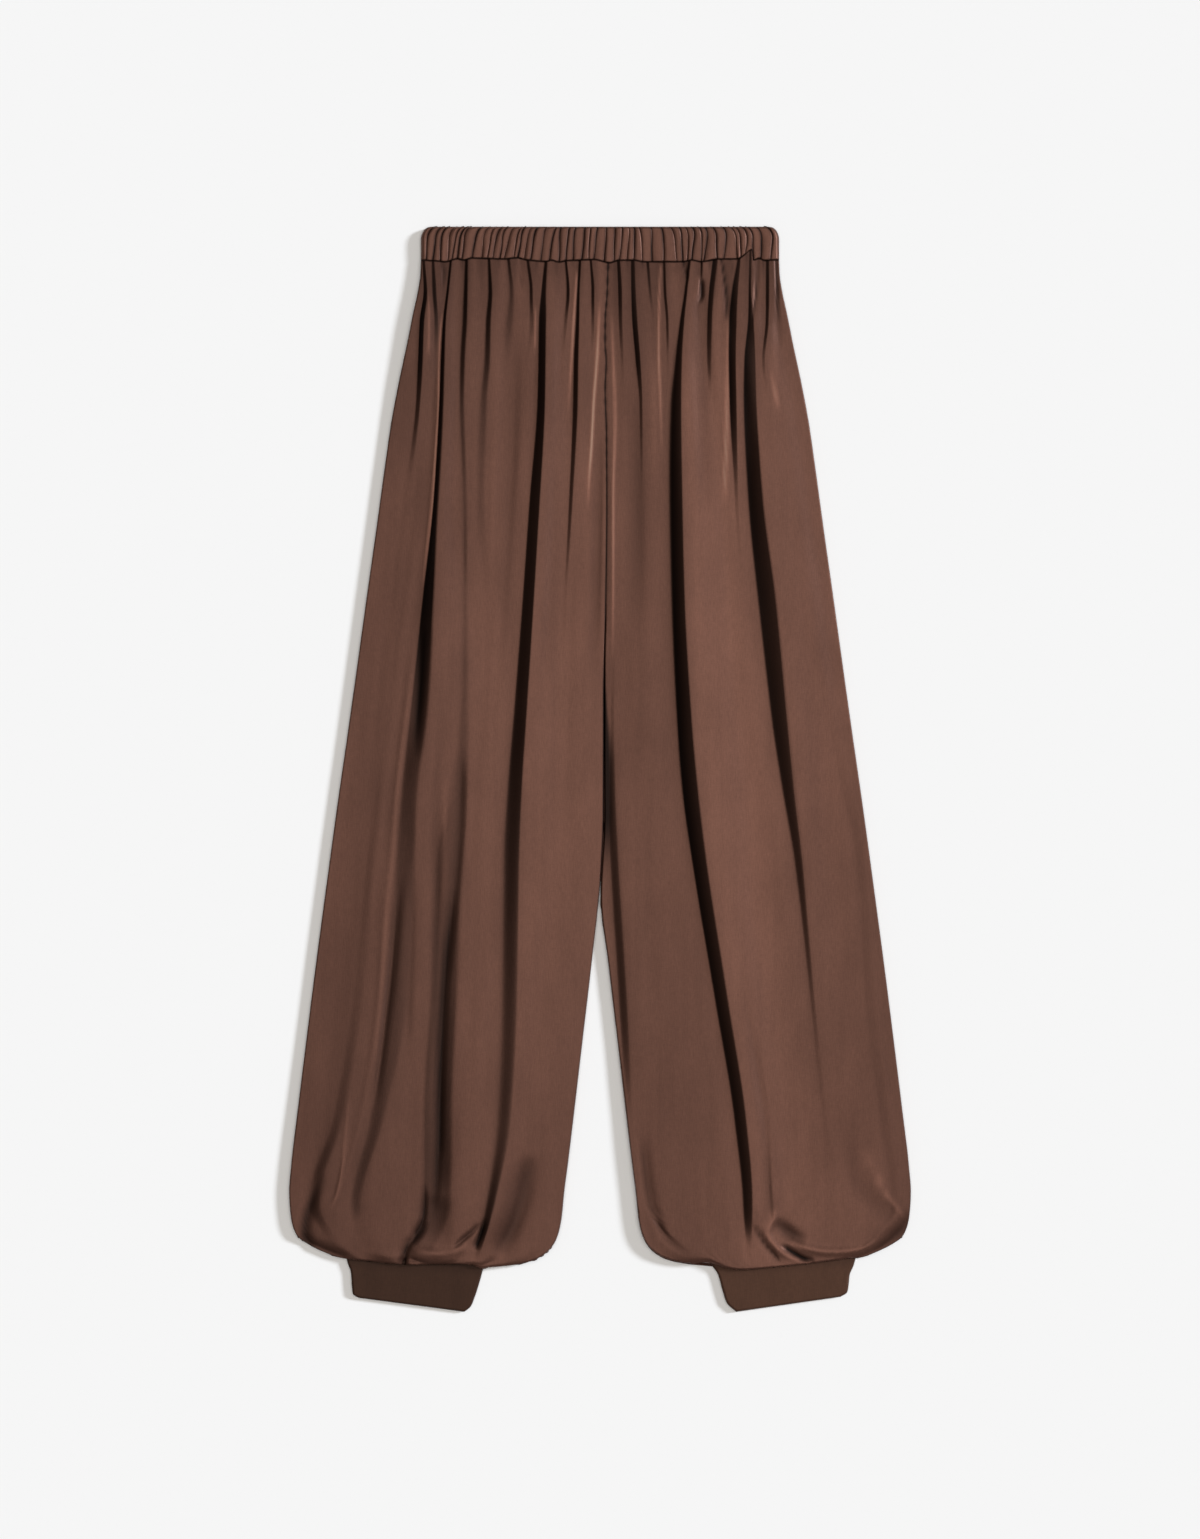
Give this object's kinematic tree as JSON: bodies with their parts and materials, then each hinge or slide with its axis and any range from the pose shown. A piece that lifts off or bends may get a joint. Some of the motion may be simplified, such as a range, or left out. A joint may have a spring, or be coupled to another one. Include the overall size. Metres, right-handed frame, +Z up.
{
  "type": "satin balloon trousers (harem pants) with a gathered elastic waistband and banded ankle cuffs, laid flat",
  "caption": "Full satin trousers laid flat: gathered elastic waistband, balloon legs drawn into plain ankle cuffs.",
  "frame": {"origin": "centre of the garment's outline, on the surface that it lies on", "axes": "+Y from the ankles to the waist, +X towards the leg that is on the right as seen from above, +Z up from the surface"},
  "size_m": [0.6026, 1.051, 0.0143],
  "materials": {
    "satin": "satin",
    "cuff_satin": "matte"
  },
  "bodies": {
    "root": {"waistband_front": "satin", "waistband_back": "satin", "front_left": "satin", "front_right": "satin", "back_left": "satin", "back_right": "satin", "cuff_left_front": "cuff_satin", "cuff_left_back": "cuff_satin", "cuff_right_front": "cuff_satin", "cuff_right_back": "cuff_satin"}
  },
  "joints": []
}
